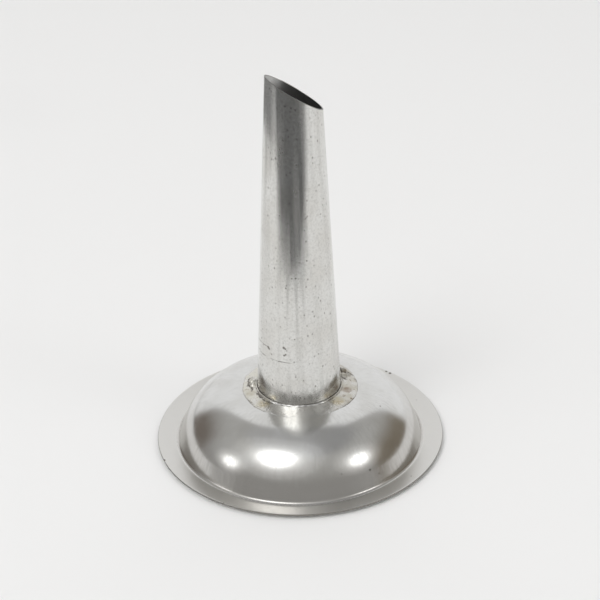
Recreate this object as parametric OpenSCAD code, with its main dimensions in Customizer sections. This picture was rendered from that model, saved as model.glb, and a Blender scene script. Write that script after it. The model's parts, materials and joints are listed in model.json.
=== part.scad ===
/* [Rim and dome] */
// Outside diameter of the flat rim
rim_d = 82; // [78:0.5:90]
// Thickness of the sheet that the dome and its rim are spun from
dome_sheet = 0.5; // [0.4:0.05:0.8]
// Diameter at which the flat of the rim begins
flat_d = 71.4; // [68:0.2:74]
// Height that the crown would reach on the axis, above the underside of the rim
dome_h = 17; // [15:0.25:20]
// Outside radius of the shallow crown round the tube
crown_r = 110; // [80:1:150]
// Outside radius of the dome's rounded shoulder
shoulder_r = 17.6; // [15:0.2:20]
// Lean of the dome's straight flank from upright
flank_lean = 24; // [18:1:30]
// Radius of the hollow bend where the flank turns out into the rim
root_bend_r = 1; // [0.6:0.1:1.6]

/* [Tube] */
// Outside diameter of the tube at the crown
foot_d = 23.7; // [22:0.1:26]
// Outside diameter of the tube where the slanted mouth crosses its axis
tip_d = 14.7; // [13:0.1:17]
// Height of the mouth on the axis, above the underside of the rim
tip_h = 102; // [85:1:130]
// Slant of the mouth from level, with its low side towards +X
mouth_slant = 32; // [0:1:45]
// Thickness of the sheet that the tube is rolled from
tube_sheet = 0.4; // [0.3:0.05:0.6]
// How far the tube's foot stands through the dome
foot_reach = 1; // [0.5:0.25:3]
// Gap between the tube and the hole in the dome
hole_gap = 0.1; // [0.05:0.05:0.3]

/* [Lapped seam] */
// Direction of the sheet's outer edge, round from the mouth's low side
seam_turn = 75; // [0:5:355]
// Turn through which the two edges of the sheet lap
lap_turn = 24; // [16:1:36]
// Turn through which the sheet then steps down to a single thickness
joggle_turn = 7; // [5:0.5:8]
// Width of the solder run in along the outer edge
seam_solder_w = 1.2; // [0.8:0.1:2]
// Share of the edge's height that the solder climbs
seam_solder_rise = 0.9; // [0.5:0.05:1]

/* [Solder at the foot] */
// Outside diameter of the thin film that spread over the crown
film_d = 33.2; // [30:0.2:34]
// Thickness of that film
film_t = 0.2; // [0.15:0.05:0.35]
// Height and width of the hollow fillet against the tube
fillet = 0.7; // [0.5:0.1:1.2]
// Distance of the two lumps from the axis
lump_reach = 14; // [13.5:0.1:15]
// Direction of the broad lump, round from the mouth's low side
broad_lump_turn = 8; // [0:1:359]
// Width of the broad lump
broad_lump_w = 5; // [3:0.1:6]
// Direction of the narrow lump, round from the mouth's low side
narrow_lump_turn = 162; // [0:1:359]
// Width of the narrow lump
narrow_lump_w = 4; // [2:0.1:5]
// Height of both lumps above the crown
lump_h = 0.9; // [0.5:0.1:1.4]

/* [Hidden] */
$fn = 360;

tin = [0.74, 0.74, 0.73];
tin_dark = [0.68, 0.68, 0.67];
solder_grey = [0.70, 0.68, 0.62];

// Spare length that carries a cut or a cutting tool past the surface it cuts
over = 1;
// How far neighbouring lines of the dome's section cross, so that they meet at a clean point
line_cross = 0.005;

// Directions square to the dome's flank and up along it, as [away from the axis, up]
flank_out = [cos(flank_lean), sin(flank_lean)];
flank_up = [-sin(flank_lean), cos(flank_lean)];

// Arc centres of the dome's section: the shoulder's lies where its arc meets both the flank and the crown
root_c = [flat_d / 2, dome_sheet + root_bend_r];
crown_c = [0, dome_h - crown_r];
shoulder_span = crown_r - shoulder_r + line_cross;
shoulder_out = root_c * flank_out - root_bend_r - shoulder_r + 2 * line_cross;
shoulder_foot = shoulder_out * flank_out - crown_c;
foot_slide = shoulder_foot * flank_up;
shoulder_slide = sqrt(shoulder_span ^ 2 + foot_slide ^ 2 - shoulder_foot * shoulder_foot) - foot_slide;
shoulder_c = shoulder_out * flank_out + shoulder_slide * flank_up;
crown_join = atan2(shoulder_c[0], shoulder_c[1] - crown_c[1]);

// Height of the crown's outside at a distance from the axis
function crown_z(r) = crown_c[1] + sqrt(crown_r * crown_r - r * r);

foot_z = crown_z(foot_d / 2);
foot_end_z = foot_z - dome_sheet - foot_reach;
tube_top_z = tip_h + tan(mouth_slant) * tip_d + over;
taper = (foot_d - tip_d) / 2 / (tip_h - foot_z);

// Outside radius of the tube at a height
function tube_r(z) = foot_d / 2 - taper * (z - foot_z);

// Flat of the joggle at the foot: where it starts and ends, which way it faces, how it leans to the apex
apex_z = foot_z + foot_d / 2 / taper;
joggle_start = (foot_d / 2 + tube_sheet) * [cos(lap_turn), sin(lap_turn)];
joggle_end = foot_d / 2 * [cos(lap_turn + joggle_turn), sin(lap_turn + joggle_turn)];
joggle_run = joggle_end - joggle_start;
joggle_facing = atan2(joggle_run[1], joggle_run[0]) - 90;
joggle_out = joggle_start * [cos(joggle_facing), sin(joggle_facing)];
joggle_lean = atan(joggle_out / (apex_z - foot_z));

// Section of the space under the dome, a given depth in from its outside
module dome_space(depth) {
    flank_top = shoulder_c + (shoulder_r - depth - line_cross) * flank_out;
    flank_end = root_c - (root_bend_r + depth - line_cross) * flank_out;
    difference() {
        intersection() {
            translate(crown_c)
                circle(crown_r - depth);
            union() {
                translate(shoulder_c)
                    circle(shoulder_r - depth);
                translate([0, -over])
                    square([(crown_r - depth) * sin(crown_join), crown_r]);
                polygon([
                    [root_c[0], -over],
                    [root_c[0], flank_end[1]],
                    flank_end,
                    flank_top,
                    [shoulder_c[0], flank_top[1]],
                    [shoulder_c[0], -over]
                ]);
            }
            translate([0, -over])
                square(rim_d);
        }
        translate(root_c)
            circle(root_bend_r + depth);
    }
}

// Section of the spun sheet, from the axis out to the rim's edge
module dome_section() {
    difference() {
        intersection() {
            union() {
                dome_space(0);
                square([rim_d / 2, dome_sheet]);
            }
            square(rim_d / 2);
        }
        dome_space(dome_sheet);
    }
}

// Solid cone along the tube's outside, made larger or smaller in radius by grow
module tube_cone(low_z, high_z, grow) {
    translate([0, 0, low_z])
        cylinder(h = high_z - low_z, r1 = tube_r(low_z) + grow, r2 = tube_r(high_z) + grow);
}

// Wedge of space round the lap, from the sheet's free edge to the foot of the joggle
module lap_wedge(grow) {
    size = 2 * apex_z;
    rotate([0, 0, seam_turn])
        intersection() {
            translate([0, -grow, -apex_z])
                cube(size);
            translate([0, 0, apex_z])
                rotate([0, -joggle_lean, joggle_facing])
                    translate([grow - size, -size, -size])
                        cube(size);
        }
}

// The tube's outside as a solid: the rolled cone, and the lap one sheet thicker
module tube_outside(low_z, high_z, grow) {
    tube_cone(low_z, high_z, grow);
    intersection() {
        tube_cone(low_z, high_z, grow + tube_sheet);
        lap_wedge(grow);
    }
}

// Everything above the slanted mouth
module above_mouth() {
    translate([0, 0, tip_h])
        rotate([0, mouth_slant, 0])
            translate([-foot_d, -foot_d, 0])
                cube([2 * foot_d, 2 * foot_d, tube_top_z]);
}

// Solder lump on the crown, a cap of the given width
module lump(turn, width) {
    ball_r = (width * width / 4 + lump_h * lump_h) / (2 * lump_h);
    translate([0, 0, crown_c[1]])
        rotate([0, asin(lump_reach / crown_r), turn])
            translate([0, 0, crown_r + lump_h - ball_r])
                sphere(ball_r);
}

// Section of the film over the crown and of the hollow fillet against the tube
module foot_solder_section() {
    base_z = crown_z(film_d / 2) - over;
    fillet_edge = foot_d / 2 + fillet;
    fillet_top = crown_z(fillet_edge) + film_t + fillet;
    intersection() {
        translate(crown_c)
            circle(crown_r + film_t);
        translate([0, base_z])
            square([film_d / 2, dome_h + film_t + over - base_z]);
    }
    difference() {
        translate([0, base_z])
            square([fillet_edge, fillet_top - base_z]);
        translate([fillet_edge, fillet_top])
            circle(fillet);
    }
}

// Spun dome with its flat rim and the hole that takes the tube
module domed_flange() {
    color(tin)
        difference() {
            rotate_extrude()
                dome_section();
            tube_outside(foot_end_z - over, dome_h + over, hole_gap);
        }
}

// Conical tube rolled from one sheet, with its mouth cut on a slant
module nozzle_tube() {
    color(tin_dark)
        difference() {
            tube_outside(foot_end_z, tube_top_z, 0);
            tube_cone(foot_end_z - over, tube_top_z + over, -tube_sheet);
            above_mouth();
        }
}

// Ring of solder that joins the tube to the crown
module foot_solder() {
    color(solder_grey)
        difference() {
            union() {
                rotate_extrude()
                    foot_solder_section();
                lump(broad_lump_turn, broad_lump_w);
                lump(narrow_lump_turn, narrow_lump_w);
            }
            translate([0, 0, crown_c[1]])
                sphere(crown_r);
            tube_outside(foot_end_z, tube_top_z, 0);
        }
}

// Solder run in along the free edge of the lap, from the foot's fillet up to the mouth
module seam_solder() {
    start_z = crown_z(foot_d / 2 + fillet) + film_t + fillet;
    sunk = seam_solder_w * seam_solder_w / tip_d;
    color(solder_grey)
        difference() {
            rotate([0, 0, seam_turn])
                translate([tube_r(start_z), 0, start_z])
                    rotate([0, -atan(taper), 0])
                        linear_extrude(tube_top_z - start_z)
                            polygon([
                                [-sunk, 0],
                                [tube_sheet * seam_solder_rise, 0],
                                [-sunk, -seam_solder_w]
                            ]);
            tube_outside(foot_end_z, tube_top_z + over, 0);
            above_mouth();
        }
}

domed_flange();
nozzle_tube();
foot_solder();
seam_solder();
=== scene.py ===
"""Sausage stuffing tube of tinned sheet steel: dressed pieces, finishes, stage, light and camera."""
import json
import math

import bmesh
import bpy
from mathutils import Matrix, Vector, noise

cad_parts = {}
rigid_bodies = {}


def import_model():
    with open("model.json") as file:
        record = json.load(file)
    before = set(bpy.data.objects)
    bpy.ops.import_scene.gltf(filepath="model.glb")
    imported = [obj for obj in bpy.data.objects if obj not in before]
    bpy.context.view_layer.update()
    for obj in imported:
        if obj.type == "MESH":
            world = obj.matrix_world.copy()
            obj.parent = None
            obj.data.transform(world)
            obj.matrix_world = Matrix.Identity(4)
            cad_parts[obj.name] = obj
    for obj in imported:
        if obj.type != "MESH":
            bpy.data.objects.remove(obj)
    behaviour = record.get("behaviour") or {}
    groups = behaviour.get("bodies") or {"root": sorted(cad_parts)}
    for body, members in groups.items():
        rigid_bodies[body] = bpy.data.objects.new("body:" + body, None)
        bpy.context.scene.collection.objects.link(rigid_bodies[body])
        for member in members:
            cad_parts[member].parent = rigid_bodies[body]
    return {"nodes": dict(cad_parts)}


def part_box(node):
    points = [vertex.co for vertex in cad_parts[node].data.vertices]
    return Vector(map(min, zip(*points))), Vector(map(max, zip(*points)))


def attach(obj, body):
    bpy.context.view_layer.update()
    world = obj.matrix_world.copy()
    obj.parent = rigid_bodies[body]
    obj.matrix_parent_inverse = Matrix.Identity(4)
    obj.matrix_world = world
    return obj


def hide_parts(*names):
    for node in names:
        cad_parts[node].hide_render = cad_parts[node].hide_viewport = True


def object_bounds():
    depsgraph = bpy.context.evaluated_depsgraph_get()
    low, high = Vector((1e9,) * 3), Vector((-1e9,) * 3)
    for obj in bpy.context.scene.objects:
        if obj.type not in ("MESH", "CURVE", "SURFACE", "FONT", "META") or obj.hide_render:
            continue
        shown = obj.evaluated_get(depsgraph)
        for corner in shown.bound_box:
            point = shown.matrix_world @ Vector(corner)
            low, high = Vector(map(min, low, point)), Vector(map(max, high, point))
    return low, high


for leftover in list(bpy.data.objects):
    bpy.data.objects.remove(leftover)
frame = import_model()
cad_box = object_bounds()

MM = 0.001

# Sizes of the solids, in millimetres, with their angles in radians
RIM_R = cad_box[1][0] / MM
DOME_SHEET = 0.5
FLAT_R = 35.7
DOME_H = 17.0
CROWN_R = 110.0
SHOULDER_R = 17.6
FLANK_LEAN = math.radians(24)
ROOT_BEND_R = 1.0
FOOT_R = 11.85
TIP_R = 7.35
TIP_H = 102.0
MOUTH_SLANT = math.radians(32)
TUBE_SHEET = 0.4
HOLE_GAP = 0.1
SEAM_TURN = math.radians(75)
LAP_TURN = math.radians(24)
JOGGLE_TURN = math.radians(7)
FILM_T = 0.2
FOOT_END_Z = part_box("nozzle_tube")[0][2] / MM

# Rim: how far its edge stands above its root, and the rounding of that edge, in millimetres
RIM_LIFT = 1.1
RIM_EDGE_R = 0.15

# Lip of the tube's mouth: its width and rise, in millimetres, and its rows of faces
LIP = 0.08
LIP_RISE = 0.8 * LIP
LIP_ROWS = 3

# Waviness of both sheets, in millimetres: its height, the size of its waves and the width of its fading
WAVINESS = 0.03
DOME_WAVE = 9.0
TUBE_WAVE = 7.0
WAVE_FADE = 4.0

# Share of the height that counts in the tube's waves, which makes them long
TUBE_WAVE_SQUEEZE = 0.35

# Solder, in millimetres: its film, which drifted to one side, its bead, and how deep it sits
FILM_R = 16.5
FILM_DRIFT = 0.6
FILM_DRIFT_TURN = math.radians(285)
BEAD_R = 0.3
SUNK = 0.04
UNDERSIDE = 0.06

# Turn in degrees at which the film is thin and bare, and the share of its thickness that is left there
BARE_TURN = -101.84
BARE_SHARE = 0.4

# Waves of the film's outer edge, as (height, size, seed)
FILM_WAVES = (
    (0.35, 5.0, 2.2),
    (0.12, 1.6, 6.4),
)

# Lumps of solder, as (turn in degrees, distance from the axis, half width, height)
LUMPS = (
    (18.0, 14.6, 1.2, 0.75),
    (8.0, 15.0, 1.0, 0.65),
    (4.0, 13.3, 1.0, 0.75),
    (26.0, 13.1, 1.0, 0.55),
    (155.0, 13.8, 1.1, 0.65),
    (163.0, 13.4, 1.2, 0.85),
    (169.5, 13.2, 0.9, 0.65),
)

# Creases in the solder, sunk into it and darkened with painted shade, each from one (turn, distance from the
# axis) to another
CREASES = (
    ((170.0, 14.4), (176.0, 13.4)),
    ((159.0, 14.6), (170.0, 14.4)),
    ((176.0, 13.4), (182.0, 13.8)),
    ((190.0, 12.9), (204.0, 12.7)),
    ((206.0, 13.0), (222.0, 12.7)),
    ((12.0, 14.4), (5.0, 15.9)),
    ((358.0, 16.3), (350.0, 16.5)),
    ((356.0, 13.6), (1.0, 12.3)),
    ((22.0, 13.8), (14.0, 13.6)),
    ((14.0, 13.6), (8.0, 14.1)),
)

# Half width of a crease and how far it wanders, in millimetres, and the share of the height that it takes
CREASE_W = 0.22
CREASE_WANDER = 0.6
CREASE_DEPTH = 0.5

# Mesh: columns round each piece, rows along it, and the angle past which an edge is sharp
DOME_COLUMNS = 360
TUBE_COLUMNS = 240
TUBE_ROWS = 110
SOLDER_COLUMNS = 480
SOLDER_ROWS = 64
SHARP_ANGLE = math.radians(35)

# Power that crowds the solder's rows towards the tube, and the turn across the lap's free edge, in radians
SOLDER_CROWDING = 1.3
LAP_STEP = 0.0008

# Arc centres of the dome's section, as (distance from the axis, height)
FLANK_OUT = Vector((math.cos(FLANK_LEAN), math.sin(FLANK_LEAN)))
FLANK_UP = Vector((-math.sin(FLANK_LEAN), math.cos(FLANK_LEAN)))
ROOT_C = Vector((FLAT_R, DOME_SHEET + ROOT_BEND_R))
CROWN_C = Vector((0.0, DOME_H - CROWN_R))
SHOULDER_OUT = ROOT_C.dot(FLANK_OUT) - ROOT_BEND_R - SHOULDER_R
SHOULDER_FOOT = SHOULDER_OUT * FLANK_OUT - CROWN_C
FOOT_SLIDE = SHOULDER_FOOT.dot(FLANK_UP)
SHOULDER_SPAN = (CROWN_R - SHOULDER_R) ** 2 + FOOT_SLIDE ** 2 - SHOULDER_FOOT.length_squared
SHOULDER_C = SHOULDER_OUT * FLANK_OUT + (math.sqrt(SHOULDER_SPAN) - FOOT_SLIDE) * FLANK_UP
CROWN_JOIN = math.atan2(SHOULDER_C[0], SHOULDER_C[1] - CROWN_C[1])

# Camera, fitted to the photograph's frame of 600 by 600 pixels
FRAME_PX = 600.0
FOCAL_PX = 1200.0
SENSOR_MM = 36.0
VIEW_PITCH = math.radians(27.55)
VIEW_ROLL = math.radians(1.18)
VIEW_TURN = math.radians(-11.84)
RIM_CENTRE_PX = (300.2, 431.5)
VIEW_DISTANCE = 350.3 * MM
CLIP_START = 10.0 * MM


def crown_z(r):
    """Height of the crown's outside at a distance from the axis."""
    return CROWN_C[1] + math.sqrt(CROWN_R ** 2 - r ** 2)


FOOT_Z = crown_z(FOOT_R)
TAPER = (FOOT_R - TIP_R) / (TIP_H - FOOT_Z)


def tube_r(z):
    """Outside radius of the rolled tube at a height, clear of its lap."""
    return FOOT_R - TAPER * (z - FOOT_Z)


def lap_rise(angle):
    """How far the lap lifts the tube's outside at an angle, in millimetres."""
    turn = (angle - SEAM_TURN) % math.tau
    if turn <= LAP_TURN:
        return TUBE_SHEET
    return TUBE_SHEET * max(0.0, 1.0 - (turn - LAP_TURN) / JOGGLE_TURN)


def level_direction(degrees):
    """Level direction at a turn from the mouth's low side."""
    return (math.cos(math.radians(degrees)), math.sin(math.radians(degrees)), 0.0)


def ring_point(turn, reach, height=0.0):
    """Point at a turn in degrees, a distance from the axis and a height, in millimetres."""
    return Vector(level_direction(turn)) * reach + Vector((0.0, 0.0, height))


def smooth(low, high, value):
    """Smooth step from 0 at low to 1 at high."""
    t = min(1.0, max(0.0, (value - low) / (high - low)))
    return t * t * (3.0 - 2.0 * t)


def ripple(point, size, seed):
    """Smooth noise between about -1 and 1, with features of a given size in millimetres."""
    return noise.noise(Vector(point) / size + Vector((seed, 2.0 * seed, -seed)))


# Mesh building

def arc(centre, radius, start, end, steps):
    """Points along an arc of the section, from one angle to another."""
    angles = [start + (end - start) * i / steps for i in range(steps + 1)]
    return [(centre[0] + radius * math.cos(a), centre[1] + radius * math.sin(a)) for a in angles]


def line(start, end, steps):
    """Points along a straight stretch of the section, without its two ends."""
    return [tuple(s + (e - s) * i / steps for s, e in zip(start, end)) for i in range(1, steps)]


def ring_mesh(name, columns, face_material=None):
    """Closed mesh from columns of points in millimetres, each column a closed loop round the section."""
    mesh = bpy.data.meshes.new(name)
    bm = bmesh.new()
    grid = [[bm.verts.new(Vector(p) * MM) for p in column] for column in columns]
    rows = len(columns[0])
    for i, column in enumerate(grid):
        after = grid[(i + 1) % len(grid)]
        for j in range(rows):
            k = (j + 1) % rows
            face = bm.faces.new((column[j], after[j], after[k], column[k]))
            face.smooth = True
            if face_material:
                face.material_index = face_material(j)
    bmesh.ops.recalc_face_normals(bm, faces=bm.faces)
    for edge in bm.edges:
        edge.smooth = edge.calc_face_angle(0.0) < SHARP_ANGLE
    bm.to_mesh(mesh)
    bm.free()
    return mesh


def dress(mesh, materials, replaced):
    """Piece of the scene with its finishes, which stands for a node of the solids."""
    for material in materials:
        mesh.materials.append(material)
    piece = bpy.data.objects.new(mesh.name, mesh)
    bpy.context.collection.objects.link(piece)
    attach(piece, "root")
    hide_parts(replaced)


# Node helpers

def add(tree, kind, settings=None, inputs=None):
    """New node with its settings, and its inputs set to values or linked to sockets."""
    made = tree.nodes.new(kind)
    for key, value in (settings or {}).items():
        setattr(made, key, value)
    for key, value in (inputs or {}).items():
        if isinstance(value, bpy.types.NodeSocket):
            tree.links.new(value, made.inputs[key])
        else:
            made.inputs[key].default_value = value
    return made


def math_node(tree, operation, first, second=None):
    """Result of one arithmetic step."""
    inputs = {0: first}
    if second is not None:
        inputs[1] = second
    return add(tree, "ShaderNodeMath", {"operation": operation}, inputs).outputs[0]


def vector_node(tree, operation, first, second):
    """Result of one vector step."""
    made = add(tree, "ShaderNodeVectorMath", {"operation": operation}, {0: first, 1: second})
    return made.outputs["Value" if operation in ("LENGTH", "DISTANCE", "DOT_PRODUCT") else "Vector"]


def length(tree, vector):
    """Length of a vector."""
    return vector_node(tree, "LENGTH", vector, (0.0, 0.0, 0.0))


def upward(tree, vector):
    """Upward part of a vector."""
    return add(tree, "ShaderNodeSeparateXYZ", None, {0: vector}).outputs["Z"]


def ramp(tree, value, low, high, out_low=0.0, out_high=1.0):
    """Value mapped smoothly from one range to another."""
    inputs = {"Value": value, "From Min": low, "From Max": high, "To Min": out_low, "To Max": out_high}
    return add(tree, "ShaderNodeMapRange", {"interpolation_type": "SMOOTHSTEP"}, inputs).outputs[0]


def blend(tree, factor, first, second):
    """Mix of two colours."""
    inputs = {0: factor, 6: first, 7: second}
    return add(tree, "ShaderNodeMix", {"data_type": "RGBA"}, inputs).outputs[2]


def grain(tree, vector, scale, detail=3.0, roughness=0.5):
    """Noise value at a vector."""
    inputs = {"Vector": vector, "Scale": scale, "Detail": detail, "Roughness": roughness}
    return add(tree, "ShaderNodeTexNoise", None, inputs).outputs["Fac"]


def attribute(tree, name):
    """Value of a mesh's own layer."""
    return add(tree, "ShaderNodeAttribute", {"attribute_name": name}).outputs["Fac"]


def polar(tree, coords):
    """Distance from the axis, and the level direction outwards."""
    flat = vector_node(tree, "MULTIPLY", coords, (1.0, 1.0, 0.0))
    outward = add(tree, "ShaderNodeVectorMath", {"operation": "NORMALIZE"}, {0: flat}).outputs["Vector"]
    return length(tree, flat), outward


def sector(tree, outward, middle, half_turn, soft):
    """Mask of a sector about a level direction, from half its turn and its softness in degrees."""
    facing = vector_node(tree, "DOT_PRODUCT", outward, tuple(middle))
    edges = [math.cos(math.radians(half_turn + spread)) for spread in (soft, -soft)]
    return ramp(tree, facing, *edges)


def near_point(tree, coords, place, inner, outer, peak=1.0):
    """Mask at its peak within a distance of a place and 0 beyond another, in millimetres."""
    away = vector_node(tree, "DISTANCE", coords, tuple(place * MM))
    return ramp(tree, away, inner * MM, outer * MM, peak, 0.0)


def specks(tree, coords, at, scale, radii, peak, group_scale, groups):
    """Mask of small specks, one to a cell, which show only in loose groups."""
    cells = add(tree, "ShaderNodeTexVoronoi", None, {"Vector": at, "Scale": scale, "Randomness": 1.0})
    chosen = ramp(tree, grain(tree, coords, scale=group_scale, detail=2.0), *groups)
    spots = ramp(tree, cells.outputs["Distance"], *radii, peak, 0.0)
    return math_node(tree, "MULTIPLY", spots, chosen)


def new_material(name):
    """Empty metal material: its tree, its main shader and object coordinates."""
    material = bpy.data.materials.new(name)
    material.use_nodes = True
    tree = material.node_tree
    shader = tree.nodes["Principled BSDF"]
    shader.inputs["Metallic"].default_value = 1.0
    coords = add(tree, "ShaderNodeTexCoord").outputs["Object"]
    return material, tree, shader, coords


def join(tree, shader, socket, value):
    """Links a value to one of the shader's sockets."""
    tree.links.new(value, shader.inputs[socket])


def bump(tree, shader, height, depth_mm, strength):
    """Gives the shader a bump of a depth in millimetres."""
    inputs = {"Height": height, "Distance": depth_mm * MM, "Strength": strength}
    join(tree, shader, "Normal", add(tree, "ShaderNodeBump", None, inputs).outputs["Normal"])


# Finish of the dome

BRIGHT_TIN = (0.76, 0.76, 0.75, 1.0)
CLOUDED_TIN = (0.69, 0.685, 0.665, 1.0)
# Colour that darkens the dome towards its root, in streaks
TIN_DARKER_TOWARDS_ROOT = (0.61, 0.595, 0.57, 1.0)
STREAKED_TIN = (0.57, 0.56, 0.54, 1.0)
RIM_TIN = (0.75, 0.74, 0.715, 1.0)
# Colour of the rim's cut edge: dark partly as bare steel and partly as painted shade
CUT_RIM_WITH_PAINTED_SHADE = (0.27, 0.26, 0.24, 1.0)
DARK_SPECK = (0.12, 0.10, 0.085, 1.0)

# Heights between which the darkening towards the dome's root fades, and where the rim's finish and its cut
# edge begin, in millimetres
ROOT_DARKENING_FADE = (4.0, 12.0)
RIM_FADE = (FLAT_R - 0.6, FLAT_R + 0.2)
CUT_FADE = (RIM_R - 0.16, RIM_R - 0.04)
RIM_ROUGHNESS = 0.14

# Dark marks on the rim, as (turn in degrees, distance from the axis, inner and outer radius)
RIM_MARKS = (
    (189.9, 40.9, 0.2, 0.55),
    (34.0, 40.6, 0.2, 0.6),
    (36.2, 40.7, 0.2, 0.5),
)


def radial_streaks(tree, radius, outward):
    """Noise in fine streaks that run outwards."""
    along = add(tree, "ShaderNodeCombineXYZ", None, {"Z": math_node(tree, "MULTIPLY", radius, 12.0)})
    streak_at = vector_node(tree, "ADD", outward, along.outputs["Vector"])
    return grain(tree, streak_at, scale=45.0, detail=4.0, roughness=0.6)


def tool_rings(tree, radius):
    """Noise in fine rings round the axis, as a spinning tool leaves them."""
    inputs = {"W": radius, "Scale": 1500.0, "Detail": 2.0}
    return add(tree, "ShaderNodeTexNoise", {"noise_dimensions": "1D"}, inputs).outputs["Fac"]


def dome_marks(tree, coords):
    """Mask of the dome's specks and of the dark marks on its rim."""
    mask = specks(
        tree, coords, at=coords, scale=260.0, radii=(0.03, 0.10), peak=0.85,
        group_scale=90.0, groups=(0.53, 0.62),
    )
    for turn, reach, inner, outer in RIM_MARKS:
        place = ring_point(turn, reach, DOME_SHEET + RIM_LIFT)
        mask = math_node(tree, "MAXIMUM", mask, near_point(tree, coords, place, inner, outer))
    return mask


def dome_shade(tree, coords, radius, streaks, rim):
    """Clouded tin, darker towards the root and streaked, with a plain rim and a cut edge dark partly as bare
    steel and partly as painted shade.
    """
    clouds = grain(tree, coords, scale=110.0, detail=4.0)
    shade = blend(tree, ramp(tree, clouds, 0.35, 0.7), BRIGHT_TIN, CLOUDED_TIN)
    low, high = [z * MM for z in ROOT_DARKENING_FADE]
    lower = ramp(tree, upward(tree, coords), low, high, 1.0, 0.0)
    # The dome darkens towards its root, in streaks
    root_darkening = math_node(tree, "MULTIPLY", lower, ramp(tree, streaks, 0.25, 0.7, 0.65, 0.95))
    shade = blend(tree, root_darkening, shade, TIN_DARKER_TOWARDS_ROOT)
    shade = blend(tree, ramp(tree, streaks, 0.42, 0.72, 0.0, 0.22), shade, STREAKED_TIN)
    shade = blend(tree, rim, shade, RIM_TIN)
    # The rim's cut edge is darkened partly as bare steel and partly as painted shade
    return blend(tree, ramp(tree, radius, *[r * MM for r in CUT_FADE]), shade, CUT_RIM_WITH_PAINTED_SHADE)


def polished_tin():
    """Spun dome: bright, with fine streaks that run outwards, tool rings, specks, and a duller rim."""
    material, tree, shader, coords = new_material("polished_tin")
    radius, outward = polar(tree, coords)
    streaks = radial_streaks(tree, radius, outward)
    rim = ramp(tree, radius, *[r * MM for r in RIM_FADE])
    shade = dome_shade(tree, coords, radius, streaks, rim)
    join(tree, shader, "Base Color", blend(tree, dome_marks(tree, coords), shade, DARK_SPECK))
    bright = ramp(tree, streaks, 0.3, 0.75, 0.15, 0.23)
    dull = math_node(tree, "MULTIPLY", rim, RIM_ROUGHNESS)
    join(tree, shader, "Roughness", math_node(tree, "ADD", bright, dull))
    rings = math_node(tree, "MULTIPLY", tool_rings(tree, radius), 0.5)
    height = math_node(tree, "ADD", streaks, rings)
    off_rim = ramp(tree, rim, 0.0, 1.0, 1.0, 0.15)
    bump(tree, shader, math_node(tree, "MULTIPLY", height, off_rim), depth_mm=0.004, strength=0.5)
    return material


# Finishes of the tube

SATIN_TIN = (0.78, 0.78, 0.76, 1.0)
CLOUDED_SATIN = (0.71, 0.70, 0.67, 1.0)
MOTTLED_SATIN = (0.52, 0.51, 0.49, 1.0)
STREAKED_SATIN = (0.54, 0.535, 0.51, 1.0)
PIT = (0.13, 0.115, 0.10, 1.0)
# Inside of the tube, darker than the outside as painted shade of its hollow
INSIDE_TIN_PAINTED_SHADE = (0.60, 0.60, 0.59, 1.0)
DARKER_INSIDE_TIN_PAINTED_SHADE = (0.44, 0.44, 0.43, 1.0)
CUT_STEEL = (0.22, 0.215, 0.20, 1.0)
DARK_CUT_STEEL = (0.15, 0.145, 0.135, 1.0)

# Larger pits in the tube, as (turn in degrees, height, radius in millimetres)
PITS = (
    (210.2, 32.6, 0.54),
    (212.0, 32.3, 0.46),
    (237.2, 33.9, 0.48),
    (239.4, 33.6, 0.40),
    (237.7, 31.6, 0.40),
    (240.0, 31.9, 0.36),
    (250.4, 54.5, 0.26),
    (256.4, 54.6, 0.30),
    (240.9, 51.6, 0.30),
    (274.4, 59.3, 0.28),
    (253.2, 36.7, 0.28),
)

# Faint scratches round the tube, as (height, turn of the middle and half the turn in degrees)
SCRATCHES = (
    (29.5, 208.0, 36.0),
    (32.7, 190.0, 20.0),
)

# Turn in degrees, to either side of a scratch's end, over which it fades
SCRATCH_FADE = 10.0


def tube_pits(tree, coords):
    """Mask of the tube's pits: many small ones in loose groups, and the larger ones."""
    squeezed = vector_node(tree, "MULTIPLY", coords, (1.0, 1.0, 0.7))
    mask = specks(
        tree, coords, at=squeezed, scale=900.0, radii=(0.05, 0.29), peak=0.72,
        group_scale=330.0, groups=(0.46, 0.58),
    )
    for turn, height, size in PITS:
        place = ring_point(turn, tube_r(height), height)
        pit = near_point(tree, coords, place, 0.35 * size, size, peak=0.9)
        mask = math_node(tree, "MAXIMUM", mask, pit)
    return mask


def tube_scratches(tree, coords):
    """Mask of the faint broken scratches low on the tube."""
    _, outward = polar(tree, coords)
    height = upward(tree, coords)
    broken = ramp(tree, grain(tree, coords, scale=600.0, detail=2.0), 0.36, 0.58)
    mask = 0.0
    for level, middle, half_turn in SCRATCHES:
        away = math_node(tree, "ABSOLUTE", math_node(tree, "SUBTRACT", height, level * MM))
        trace = math_node(tree, "MULTIPLY", ramp(tree, away, 0.06 * MM, 0.2 * MM, 0.8, 0.0), broken)
        stretch = sector(tree, outward, level_direction(middle), half_turn, SCRATCH_FADE)
        mask = math_node(tree, "MAXIMUM", mask, math_node(tree, "MULTIPLY", trace, stretch))
    return mask


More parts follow.
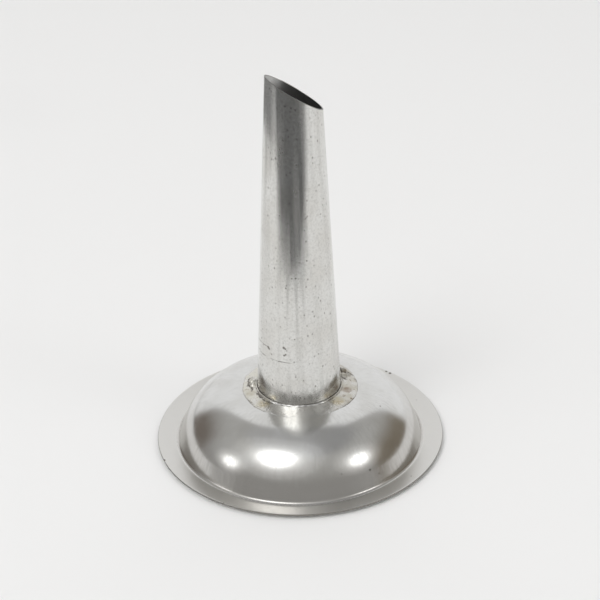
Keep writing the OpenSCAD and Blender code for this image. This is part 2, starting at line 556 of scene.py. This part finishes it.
def satin_tin():
    """Rolled tube: satin, with soft lengthwise streaks, fine mottling, small dark pits and scratches."""
    material, tree, shader, coords = new_material("satin_tin")
    streak_at = vector_node(tree, "MULTIPLY", coords, (1.0, 1.0, 0.02))
    streaks = grain(tree, streak_at, scale=500.0, detail=2.0)
    clouds = grain(tree, coords, scale=90.0, detail=4.0)
    mottling = grain(tree, coords, scale=1600.0, detail=3.0, roughness=0.6)
    marks = math_node(tree, "MAXIMUM", tube_pits(tree, coords), tube_scratches(tree, coords))
    shade = blend(tree, ramp(tree, clouds, 0.35, 0.7), SATIN_TIN, CLOUDED_SATIN)
    shade = blend(tree, ramp(tree, mottling, 0.42, 0.72, 0.0, 0.55), shade, MOTTLED_SATIN)
    shade = blend(tree, ramp(tree, streaks, 0.42, 0.62, 0.0, 0.17), shade, STREAKED_SATIN)
    join(tree, shader, "Base Color", blend(tree, marks, shade, PIT))
    satin = ramp(tree, streaks, 0.35, 0.65, 0.13, 0.265)
    rougher = math_node(tree, "MULTIPLY", marks, 0.08)
    join(tree, shader, "Roughness", math_node(tree, "ADD", satin, rougher))
    fine = math_node(tree, "MULTIPLY", mottling, 0.12)
    height = math_node(tree, "ADD", math_node(tree, "MULTIPLY", streaks, 0.35), fine)
    bump(tree, shader, math_node(tree, "SUBTRACT", height, marks), depth_mm=0.015, strength=0.3)
    return material


def clouded_metal(name, scale, detail, span, colours, roughness):
    """Metal whose colour and roughness waver in soft clouds, each between two values."""
    material, tree, shader, coords = new_material(name)
    clouds = grain(tree, coords, scale, detail)
    join(tree, shader, "Base Color", blend(tree, ramp(tree, clouds, *span), *colours))
    join(tree, shader, "Roughness", ramp(tree, clouds, *span, *roughness))
    return material


def inside_with_painted_shade():
    """Inside of the tube: dull, and darkened with painted shade of its hollow."""
    return clouded_metal(
        "inside_with_painted_shade", scale=200.0, detail=5.0, span=(0.3, 0.7),
        colours=(INSIDE_TIN_PAINTED_SHADE, DARKER_INSIDE_TIN_PAINTED_SHADE), roughness=(0.3, 0.42),
    )


def cut_edge():
    """Cut edge of the tube's mouth: bare steel, darker than the tin."""
    return clouded_metal(
        "cut_edge", scale=700.0, detail=3.0, span=(0.35, 0.65),
        colours=(CUT_STEEL, DARK_CUT_STEEL), roughness=(0.35, 0.45),
    )


# Finish of the solder

BARE_SOLDER = (0.74, 0.735, 0.72, 1.0)
PALE_FLUX = (0.73, 0.71, 0.64, 1.0)
GREY_FLUX = (0.57, 0.545, 0.48, 1.0)
BROWN_FLUX = (0.24, 0.18, 0.12, 1.0)
# Dark colour of the film's edge line, and of the painted shade in the solder's creases and beside its bead
EDGE_LINE_AND_PAINTED_SHADE = (0.12, 0.105, 0.09, 1.0)

# Stains on the solder, as (turn in degrees, distance from the axis, radius, colour)
STAINS = (
    (13.0, 14.3, 1.5, (0.26, 0.21, 0.15, 1.0)),
    (332.0, 13.9, 1.9, (0.27, 0.20, 0.15, 1.0)),
    (306.0, 14.2, 2.6, (0.54, 0.48, 0.34, 1.0)),
    (214.0, 14.2, 2.6, (0.60, 0.54, 0.40, 1.0)),
    (186.0, 14.3, 2.0, (0.56, 0.52, 0.43, 1.0)),
)


def stained(tree, coords, spots, shade):
    """Shade of the solder with the stains laid over it."""
    uneven = ramp(tree, spots, 0.35, 0.6, 0.4, 0.9)
    for turn, reach, size, colour in STAINS:
        stain = near_point(tree, coords, ring_point(turn, reach, crown_z(reach)), 0.4 * size, size)
        shade = blend(tree, math_node(tree, "MULTIPLY", stain, uneven), shade, colour)
    return shade


def solder_edge_line_and_painted_shade(tree, spots):
    """Mask of the dark line along the film's edge, and of the painted shade in its creases and beside the
    bead.
    """
    broken = ramp(tree, spots, 0.38, 0.55, 0.25, 1.0)
    outline = math_node(tree, "MULTIPLY", ramp(tree, attribute(tree, "edge"), 0.93, 0.985), broken)
    return math_node(tree, "MAXIMUM", outline, attribute(tree, "painted_shade"))


def solder():
    """Tin solder: bright where it is bare, beige and brown where flux dried on it, dark along its edges,
    with painted shade in its creases and beside its bead.
    """
    material, tree, shader, coords = new_material("solder")
    _, outward = polar(tree, coords)
    clouds = grain(tree, coords, scale=300.0, detail=5.0, roughness=0.65)
    spots = grain(tree, coords, scale=800.0, detail=4.0, roughness=0.65)
    ahead = vector_node(tree, "DOT_PRODUCT", outward, level_direction(BARE_TURN))
    wander = math_node(tree, "ADD", ahead, ramp(tree, clouds, 0.3, 0.7, -0.2, 0.2))
    side = ramp(tree, wander, 0.62, 0.90, 1.0, 0.0)
    flux = math_node(tree, "MULTIPLY", side, ramp(tree, clouds, 0.32, 0.62, 0.3, 1.0))
    brown = math_node(tree, "MULTIPLY", ramp(tree, spots, 0.58, 0.70, 0.0, 0.9), side)
    # The flux is paler towards the camera's left and greyer towards its right
    leftward = vector_node(tree, "DOT_PRODUCT", outward, level_direction(BARE_TURN - 90.0))
    flux_by_side = blend(tree, ramp(tree, leftward, -0.2, 0.7), GREY_FLUX, PALE_FLUX)
    shade = stained(tree, coords, spots, blend(tree, flux, BARE_SOLDER, flux_by_side))
    shade = blend(tree, brown, shade, BROWN_FLUX)
    # Dark edge line, and painted shade in the creases and beside the bead
    join(tree, shader, "Base Color", blend(tree, solder_edge_line_and_painted_shade(tree, spots), shade, EDGE_LINE_AND_PAINTED_SHADE))
    join(tree, shader, "Metallic", ramp(tree, flux, 0.0, 1.0, 1.0, 0.75))
    join(tree, shader, "Roughness", ramp(tree, flux, 0.0, 1.0, 0.16, 0.36))
    bump(tree, shader, math_node(tree, "MULTIPLY", spots, side), depth_mm=0.14, strength=0.7)
    return material


# Dome

def dome_section(angle):
    """Loop round the spun sheet's section at one angle, as (distance from the axis, height)."""
    hole_end = math.pi / 2 - math.asin((FOOT_R + lap_rise(angle) + HOLE_GAP) / CROWN_R)
    crown_end = math.pi / 2 - CROWN_JOIN
    flank = math.pi + FLANK_LEAN
    down = 1.5 * math.pi
    rim_end = RIM_R - RIM_EDGE_R
    top = arc(CROWN_C, CROWN_R, hole_end, crown_end, steps=24)
    top += arc(SHOULDER_C, SHOULDER_R, crown_end, FLANK_LEAN, steps=60)[1:]
    root = arc(ROOT_C, ROOT_BEND_R, flank, down, steps=14)
    top += line(top[-1], root[0], steps=10) + root
    top += line(top[-1], (rim_end, DOME_SHEET), steps=10)
    rim_edge = arc((rim_end, DOME_SHEET - RIM_EDGE_R), RIM_EDGE_R, math.pi / 2, 0.0, steps=3)
    rim_edge += arc((rim_end, RIM_EDGE_R), RIM_EDGE_R, 0.0, -math.pi / 2, steps=3)
    under = line((rim_end, 0.0), (ROOT_C[0], 0.0), steps=6)
    under += arc(ROOT_C, ROOT_BEND_R + DOME_SHEET, down, flank, steps=14)
    inner = arc(SHOULDER_C, SHOULDER_R - DOME_SHEET, FLANK_LEAN, crown_end, steps=40)
    under += line(under[-1], inner[0], steps=6) + inner
    under += arc(CROWN_C, CROWN_R - DOME_SHEET, crown_end, hole_end, steps=16)[1:]
    return top + rim_edge + under


def rim_rise(r):
    """How far the dished rim is lifted at a distance from the axis, in millimetres."""
    return RIM_LIFT * max(0.0, (r - FLAT_R) / (RIM_R - FLAT_R))


def domed_flange(material):
    """The spun dome, with the slight waviness of sheet worked over a former, and its faintly dished rim."""
    film_hides = FILM_R - 1.0
    columns = []
    for i in range(DOME_COLUMNS):
        angle = math.tau * i / DOME_COLUMNS
        column = []
        for r, z in dome_section(angle):
            point = Vector((r * math.cos(angle), r * math.sin(angle), z))
            on_dome = smooth(FLAT_R, FLAT_R - WAVE_FADE, r) * smooth(film_hides, film_hides + WAVE_FADE, r)
            point.z += WAVINESS * on_dome * ripple((point.x, point.y, 0.0), DOME_WAVE, 3.1)
            point.z += rim_rise(r)
            column.append(point)
        columns.append(column)
    dress(ring_mesh("spun_dome", columns), [material], "domed_flange")


# Tube

def mouth_z(angle, grow):
    """Height of the slanted mouth on one side of the tube."""
    slope = math.tan(MOUTH_SLANT) * math.cos(angle)
    base = FOOT_R + grow + TAPER * FOOT_Z
    return (TIP_H - slope * base) / (1.0 - slope * TAPER)


def tube_angles():
    """Angles round the tube, with a pair close together at the lap's free edge."""
    angles = [SEAM_TURN + math.tau * i / TUBE_COLUMNS for i in range(TUBE_COLUMNS)]
    return angles + [SEAM_TURN + math.tau - LAP_STEP]


def tube_section(angle):
    """Loop round the tube's wall at one angle, as (distance from the axis, height)."""
    rise = lap_rise(angle)
    outer_top = mouth_z(angle, rise) - LIP
    inner_top = mouth_z(angle, -TUBE_SHEET) - LIP
    going_up = [FOOT_END_Z + (outer_top - FOOT_END_Z) * i / TUBE_ROWS for i in range(TUBE_ROWS + 1)]
    going_down = [inner_top + (FOOT_END_Z - inner_top) * i / TUBE_ROWS for i in range(TUBE_ROWS + 1)]
    section = [(tube_r(z) + rise, z) for z in going_up]
    section.append((tube_r(outer_top) + rise - LIP, outer_top + LIP_RISE))
    section.append((tube_r(inner_top) - TUBE_SHEET + LIP, inner_top + LIP_RISE))
    return section + [(tube_r(z) - TUBE_SHEET, z) for z in going_down]


def tube_finish(row):
    """Which finish a row of faces has: 0 on the outside, 1 on the inside, 2 on the lip."""
    if row < TUBE_ROWS:
        return 0
    return 2 if row < TUBE_ROWS + LIP_ROWS else 1


def nozzle_tube(outside, inside, edge):
    """The rolled tube with its lap and slanted mouth, and the slight waviness of rolled sheet."""
    columns = []
    for angle in tube_angles():
        direction = Vector((math.cos(angle), math.sin(angle), 0.0))
        column = []
        for r, z in tube_section(angle):
            wave_at = direction * r + Vector((0.0, 0.0, z * TUBE_WAVE_SQUEEZE))
            swell = WAVINESS * ripple(wave_at, TUBE_WAVE, 1.7)
            column.append(direction * (r + swell) + Vector((0.0, 0.0, z)))
        columns.append(column)
    mesh = ring_mesh("rolled_tube", columns, tube_finish)
    dress(mesh, [outside, inside, edge], "nozzle_tube")


# Solder

def crease_at(point):
    """How deep in a crease a point lies, from 0 to 1."""
    wander = Vector((ripple(point, 0.9, 4.4), ripple(point, 0.9, 9.7), 0.0))
    wavy = point + CREASE_WANDER * wander
    deepest = 0.0
    for start, end in CREASES:
        a, b = ring_point(*start), ring_point(*end)
        share = min(1.0, max(0.0, (wavy - a).dot(b - a) / (b - a).length_squared))
        away = (wavy - a - (b - a) * share).length / CREASE_W
        deepest = max(deepest, math.exp(-away * away))
    return deepest


def film_height(point, edge):
    """Height of the uneven film, which is thin where it is bare and runs out at its edge."""
    ahead = point.normalized().dot(Vector(level_direction(BARE_TURN)))
    share = BARE_SHARE + (1.0 - BARE_SHARE) * smooth(0.9, 0.6, ahead)
    return FILM_T * share * (1.0 - edge ** 10) * (1.0 + 0.5 * ripple(point, 2.4, 5.3))


def bead_height(point):
    """Height of the round bead against the tube."""
    across = (math.hypot(point.x, point.y) - FOOT_R) / BEAD_R - 1.0
    if abs(across) >= 1.0:
        return 0.0
    return BEAD_R * math.sqrt(1.0 - across ** 2) * (0.8 + 0.5 * ripple(point, 1.1, 8.2))


def lump_height(point, edge):
    """Height of the rough lumps, which flatten towards the film's edge."""
    highest = 0.0
    for turn, reach, half_width, rise in LUMPS:
        away = (point - ring_point(turn, reach)).length / half_width
        highest = max(highest, rise * math.exp(-away ** 4))
    return highest * (1.0 - edge ** 8) * (1.0 + 0.3 * ripple(point, 0.7, 1.3))


def solder_height(point, edge):
    """Height of the solder above the crown at a point, where edge runs from 0 at the tube to 1 outside."""
    height = film_height(point, edge) + bead_height(point) + lump_height(point, edge)
    return height * (1.0 - CREASE_DEPTH * crease_at(point))


def bead_painted_shade(point, gap):
    """Painted shade along both sides of the bead, by the distance from the tube; it is broken on the outer
    side.
    """
    outer = (gap - 2.2 * BEAD_R) / (0.4 * BEAD_R)
    broken = max(0.0, 0.25 + ripple(point, 1.3, 3.3))
    return max(0.95 * smooth(0.95 * BEAD_R, 0.45 * BEAD_R, gap), broken * math.exp(-outer * outer))


def film_reach(angle, direction):
    """Distance from the axis to the film's ragged outer edge."""
    drift = FILM_DRIFT * math.cos(angle - FILM_DRIFT_TURN)
    waves = [height * ripple(direction * FILM_R, size, seed) for height, size, seed in FILM_WAVES]
    return FILM_R + drift + sum(waves)


def foot_solder(material):
    """The ring of solder, with its uneven film, the bead against the tube, and lumps."""
    shares = [(j / SOLDER_ROWS) ** SOLDER_CROWDING for j in range(SOLDER_ROWS + 1)]
    columns = []
    painted_shade = []
    for i in range(SOLDER_COLUMNS):
        angle = math.tau * i / SOLDER_COLUMNS
        direction = Vector((math.cos(angle), math.sin(angle), 0.0))
        inner = FOOT_R + lap_rise(angle) - SUNK
        outer = film_reach(angle, direction)
        points = [direction * (inner + (outer - inner) * edge) for edge in shares]
        top, under = [], []
        for point, edge in zip(points, shares):
            base = crown_z(point.length)
            top.append(point + Vector((0.0, 0.0, base + solder_height(point, edge) - SUNK * edge)))
            under.append(point + Vector((0.0, 0.0, base - UNDERSIDE)))
        columns.append(top + under[::-1])
        # Painted shade in the creases and beside the bead, kept as a layer of the mesh
        painted_shade_here = [max(crease_at(point), bead_painted_shade(point, point.length - inner)) for point in points]
        painted_shade += painted_shade_here + painted_shade_here[::-1]
    mesh = ring_mesh("solder_ring", columns)
    layers = {"edge": (shares + shares[::-1]) * SOLDER_COLUMNS, "painted_shade": painted_shade}
    for name, values in layers.items():
        mesh.attributes.new(name, "FLOAT", "POINT").data.foreach_set("value", values)
    dress(mesh, [material], "foot_solder")


# Camera

def level_axes():
    """Level directions to the camera's right and towards the camera."""
    right = Vector((math.cos(VIEW_TURN), math.sin(VIEW_TURN), 0.0))
    near = Vector((math.sin(VIEW_TURN), -math.cos(VIEW_TURN), 0.0))
    return right, near


def make_camera():
    """Camera at the photograph's viewing angle, placed by where the rim's centre lies in the frame."""
    right, near = level_axes()
    forward = -near * math.cos(VIEW_PITCH) - Vector((0.0, 0.0, math.sin(VIEW_PITCH)))
    up = -near * math.sin(VIEW_PITCH) + Vector((0.0, 0.0, math.cos(VIEW_PITCH)))
    turned_right = right * math.cos(VIEW_ROLL) - up * math.sin(VIEW_ROLL)
    turned_up = right * math.sin(VIEW_ROLL) + up * math.cos(VIEW_ROLL)
    across = (RIM_CENTRE_PX[0] - FRAME_PX / 2) / FOCAL_PX
    down = (RIM_CENTRE_PX[1] - FRAME_PX / 2) / FOCAL_PX
    to_rim = (forward + turned_right * across - turned_up * down).normalized()
    data = bpy.data.cameras.new("camera")
    data.sensor_width = SENSOR_MM
    data.lens = SENSOR_MM * FOCAL_PX / FRAME_PX
    data.clip_start = CLIP_START
    camera = bpy.data.objects.new("camera", data)
    axes = Matrix((turned_right, turned_up, -forward)).transposed()
    camera.matrix_world = Matrix.Translation(-to_rim * VIEW_DISTANCE) @ axes.to_4x4()
    bpy.context.collection.objects.link(camera)
    bpy.context.scene.camera = camera


# Stage and light

# What the camera sees behind the object, and the distances in metres over which the floor fades into it
BACKGROUND = (0.845, 0.845, 0.845, 1.0)
FLOOR_FADE = (0.6, 2.5)
FLOOR_COLOUR = (0.84, 0.84, 0.84, 1.0)
FLOOR_ROUGHNESS = 0.7
FLOOR_SPECULAR = 0.1
FLOOR_REACH = 4.0

# Distance of every lamp in metres, and the rings of an umbrella lamp as (share of its size, radiance)
LAMP_DISTANCE = 4.0
UMBRELLA_RINGS = ((1.0, 1.7), (1.35, 0.5), (1.8, 0.25), (2.4, 0.12))

# Dark stretches of the studio's floor, as (name, grey, corners), where each corner is given in metres as
# (to the right, towards the camera), and their height above the floor
DARK_CARDS = (
    ("front_card", 0.14, (
        (-3.0, 0.132), (-0.268, 0.14), (-0.2, 0.125), (-0.136, 0.122), (-0.03, 0.155), (0.052, 0.168),
        (0.09, 0.185), (0.17, 0.22), (3.0, 2.0), (3.0, 3.0), (-3.0, 3.0),
    )),
    ("left_card", 0.25, (
        (-3.0, -3.0), (-0.10, -0.29), (-0.21, -0.22), (-0.30, -0.10), (-0.33, 0.06), (-3.0, 0.06),
    )),
    ("left_strip", 0.42, (
        (-3.0, 0.06), (-0.33, 0.06), (-0.27, 0.138), (-3.0, 0.13),
    )),
)
CARD_Z = 0.5 * MM

# The studio's walls, low and high, its backdrop, and its ceiling on the left and on the right
LOW_WALL = (0.33, 0.325, 0.315, 1.0)
HIGH_WALL = (0.43, 0.425, 0.41, 1.0)
BACKDROP = (0.86, 0.86, 0.86, 1.0)
BACKDROP_TURN = 176.0
LEFT_CEILING = (0.44, 0.44, 0.44, 1.0)
RIGHT_CEILING = (0.32, 0.32, 0.32, 1.0)
RIGHT_CEILING_TURN = 105.0

# Darker stretches of the walls, as (turn from the camera's side and half width in degrees, colour)
WALL_SHADES = (
    (-122.0, 16.0, (0.18, 0.155, 0.135, 1.0)),
    (103.0, 30.0, (0.21, 0.18, 0.14, 1.0)),
)

# Turn in degrees, to either side of a dark stretch's end, over which it fades
WALL_SHADE_FADE = 8.0


def towards(turn, rise):
    """Unit direction by its turn from the camera's side, positive to the camera's right, and its rise."""
    right, near = level_axes()
    level = near * math.cos(math.radians(turn)) + right * math.sin(math.radians(turn))
    return level * math.cos(math.radians(rise)) + Vector((0.0, 0.0, math.sin(math.radians(rise))))


def soft_light(name, turn, rise, wide, high, radiance):
    """Soft elliptical light, aimed at the rim's centre, given by its direction and size in degrees."""
    data = bpy.data.lights.new(name, "AREA")
    data.shape = "ELLIPSE"
    data.size = 2.0 * LAMP_DISTANCE * math.tan(math.radians(wide) / 2)
    data.size_y = 2.0 * LAMP_DISTANCE * math.tan(math.radians(high) / 2)
    area = math.pi / 4 * data.size * data.size_y
    data.energy = radiance * math.pi * area
    lamp = bpy.data.objects.new(name, data)
    place = towards(turn, rise) * LAMP_DISTANCE
    lamp.matrix_world = Matrix.Translation(place) @ place.to_track_quat("Z", "Y").to_matrix().to_4x4()
    bpy.context.collection.objects.link(lamp)
    return lamp


def umbrella(name, turn, rise, wide, high):
    """Lamp that is bright in its middle and fades outwards, as a lit umbrella does."""
    for spread, radiance in UMBRELLA_RINGS:
        soft_light(f"{name}_{spread}", turn, rise, wide * spread, high * spread, radiance)


def fill_light(name, turn, rise, size, radiance):
    """Round soft light that the metal doesn't mirror."""
    soft_light(name, turn, rise, size, size, radiance).visible_glossy = False


def pale_floor():
    """Pale matt floor. Far from the object it fades into the background, as the camera sees it."""
    material = bpy.data.materials.new("pale_floor")
    material.use_nodes = True
    tree = material.node_tree
    matt = tree.nodes["Principled BSDF"]
    matt.inputs["Base Color"].default_value = FLOOR_COLOUR
    matt.inputs["Roughness"].default_value = FLOOR_ROUGHNESS
    matt.inputs["Specular IOR Level"].default_value = FLOOR_SPECULAR
    place = add(tree, "ShaderNodeTexCoord").outputs["Object"]
    far = ramp(tree, length(tree, place), *FLOOR_FADE)
    seen = add(tree, "ShaderNodeLightPath").outputs["Is Camera Ray"]
    glow = add(tree, "ShaderNodeEmission", None, {"Color": BACKGROUND}).outputs["Emission"]
    mixed = {0: math_node(tree, "MULTIPLY", far, seen), 1: matt.outputs["BSDF"], 2: glow}
    surface = add(tree, "ShaderNodeMixShader", None, mixed).outputs["Shader"]
    tree.links.new(surface, tree.nodes["Material Output"].inputs["Surface"])
    return material


def flat_piece(name, corners, height, material):
    """Flat stage piece from its corners, given as (to the right, towards the camera) in metres."""
    right, near = level_axes()
    mesh = bpy.data.meshes.new(name)
    points = [right * x + near * y + Vector((0.0, 0.0, height)) for x, y in corners]
    mesh.from_pydata(points, [], [tuple(range(len(points)))])
    mesh.materials.append(material)
    piece = bpy.data.objects.new(name, mesh)
    bpy.context.collection.objects.link(piece)
    return piece


def dark_card(name, grey, corners):
    """Dark stretch of the studio's floor, seen only in the metal."""
    material = bpy.data.materials.new(name)
    material.use_nodes = True
    tree = material.node_tree
    tree.nodes.clear()
    glow = add(tree, "ShaderNodeEmission", None, {"Color": (grey, grey, grey, 1.0)})
    out = add(tree, "ShaderNodeOutputMaterial")
    tree.links.new(glow.outputs["Emission"], out.inputs["Surface"])
    card = flat_piece(name, corners, CARD_Z, material)
    card.visible_camera = False
    card.visible_diffuse = False
    card.visible_shadow = False
    card.visible_transmission = False


def studio_walls(tree, sight):
    """Colour of the studio in each direction: grey walls with darker stretches, a backdrop and a ceiling."""
    _, heading = polar(tree, sight)
    rise = upward(tree, sight)
    walls = blend(tree, ramp(tree, rise, 0.1, 0.7), LOW_WALL, HIGH_WALL)
    below = ramp(tree, rise, 0.25, 0.75, 1.0, 0.0)
    for turn, half_width, colour in WALL_SHADES:
        stretch = sector(tree, heading, towards(turn, 0.0), half_width, WALL_SHADE_FADE)
        walls = blend(tree, math_node(tree, "MULTIPLY", stretch, below), walls, colour)
    to_backdrop = vector_node(tree, "DOT_PRODUCT", heading, tuple(towards(BACKDROP_TURN, 0.0)))
    narrowing = ramp(tree, rise, 0.25, 0.85, 0.67, 0.86)
    inside = math_node(tree, "SUBTRACT", to_backdrop, narrowing)
    walls = blend(tree, ramp(tree, inside, -0.04, 0.04), walls, BACKDROP)
    to_right = vector_node(tree, "DOT_PRODUCT", sight, tuple(towards(RIGHT_CEILING_TURN, 0.0)))
    ceiling = blend(tree, ramp(tree, to_right, -0.1, 0.35), LEFT_CEILING, RIGHT_CEILING)
    return blend(tree, ramp(tree, rise, 0.80, 0.90), walls, ceiling)


def make_world():
    """The studio as the metal sees it, and a plain pale background as the camera sees it."""
    world = bpy.data.worlds.new("studio")
    bpy.context.scene.world = world
    world.use_nodes = True
    tree = world.node_tree
    sight = add(tree, "ShaderNodeTexCoord").outputs["Generated"]
    seen = add(tree, "ShaderNodeLightPath").outputs["Is Camera Ray"]
    colour = blend(tree, seen, studio_walls(tree, sight), BACKGROUND)
    tree.links.new(colour, tree.nodes["Background"].inputs["Color"])


def make_stage():
    """Floor, dark cards, lights and world."""
    reach = FLOOR_REACH
    corners = ((-reach, -reach), (reach, -reach), (reach, reach), (-reach, reach))
    flat_piece("floor", corners, 0.0, pale_floor())
    for name, grey, corners in DARK_CARDS:
        dark_card(name, grey, corners)
    umbrella("window", turn=-33.0, rise=54.5, wide=31.0, high=30.0)
    umbrella("left_lamp", turn=-72.0, rise=21.0, wide=14.0, high=15.0)
    umbrella("right_lamp", turn=62.0, rise=30.5, wide=19.0, high=18.0)
    fill_light("ceiling", turn=0.0, rise=89.0, size=80.0, radiance=0.53)
    fill_light("key", turn=-42.0, rise=45.0, size=30.0, radiance=2.9)
    make_world()


domed_flange(polished_tin())
nozzle_tube(satin_tin(), inside_with_painted_shade(), cut_edge())
solder_finish = solder()
foot_solder(solder_finish)
frame["nodes"]["seam_solder"].data.materials[0] = solder_finish
make_camera()
make_stage()
bpy.context.scene.view_settings.view_transform = "Standard"
